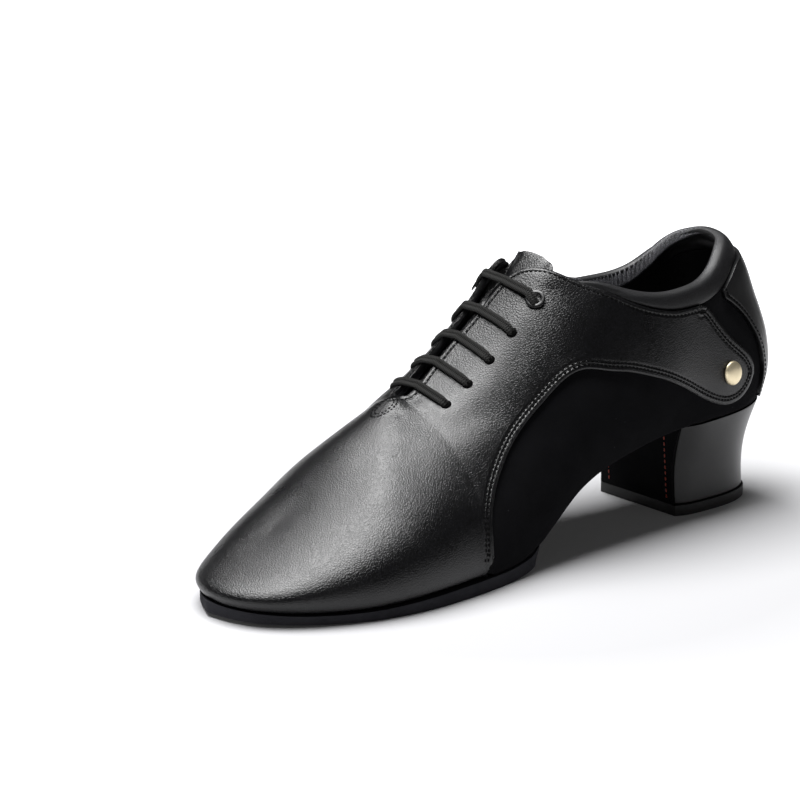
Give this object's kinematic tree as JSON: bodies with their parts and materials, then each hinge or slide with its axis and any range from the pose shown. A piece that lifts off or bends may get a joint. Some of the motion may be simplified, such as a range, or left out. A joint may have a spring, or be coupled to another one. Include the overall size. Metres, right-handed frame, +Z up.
{
  "type": "ballroom dance shoe",
  "caption": "Laced dance shoe for the left foot with a leather front, suede arch, padded collar, split sole and covered block heel.",
  "frame": {"origin": "middle of the shoe's box at floor level", "axes": "+Z up, the toe towards -Y, the heel towards +Y, the outer side of the left foot towards +X"},
  "size_m": [0.1, 0.2866, 0.1166],
  "materials": {
    "calf_leather": "fine-grained black calf, semi-gloss",
    "suede": "matte black suede",
    "smooth_leather": "smooth black leather, soft gloss",
    "lining": "soft dark grey lining leather",
    "sole_suede": "rough dark grey split leather",
    "lift_rubber": "matte black rubber",
    "lace_cotton": "flat woven black cotton",
    "eyelet_metal": "glossy black enamel",
    "gold_metal": "polished pale gold"
  },
  "bodies": {
    "root": {"upper": "suede", "front_leather": "calf_leather", "counter": "smooth_leather", "collar": "lining", "tongue": "calf_leather", "insole": "lining", "forefoot_sole": "sole_suede", "heel": "smooth_leather", "heel_breast": "suede", "top_lift": "lift_rubber", "lace_bar_1": "lace_cotton", "lace_bar_2": "lace_cotton", "lace_bar_3": "lace_cotton", "lace_bar_4": "lace_cotton", "lace_bar_5": "lace_cotton", "eyelet_outer": "eyelet_metal", "eyelet_inner": "eyelet_metal", "rivet": "gold_metal"}
  },
  "joints": []
}
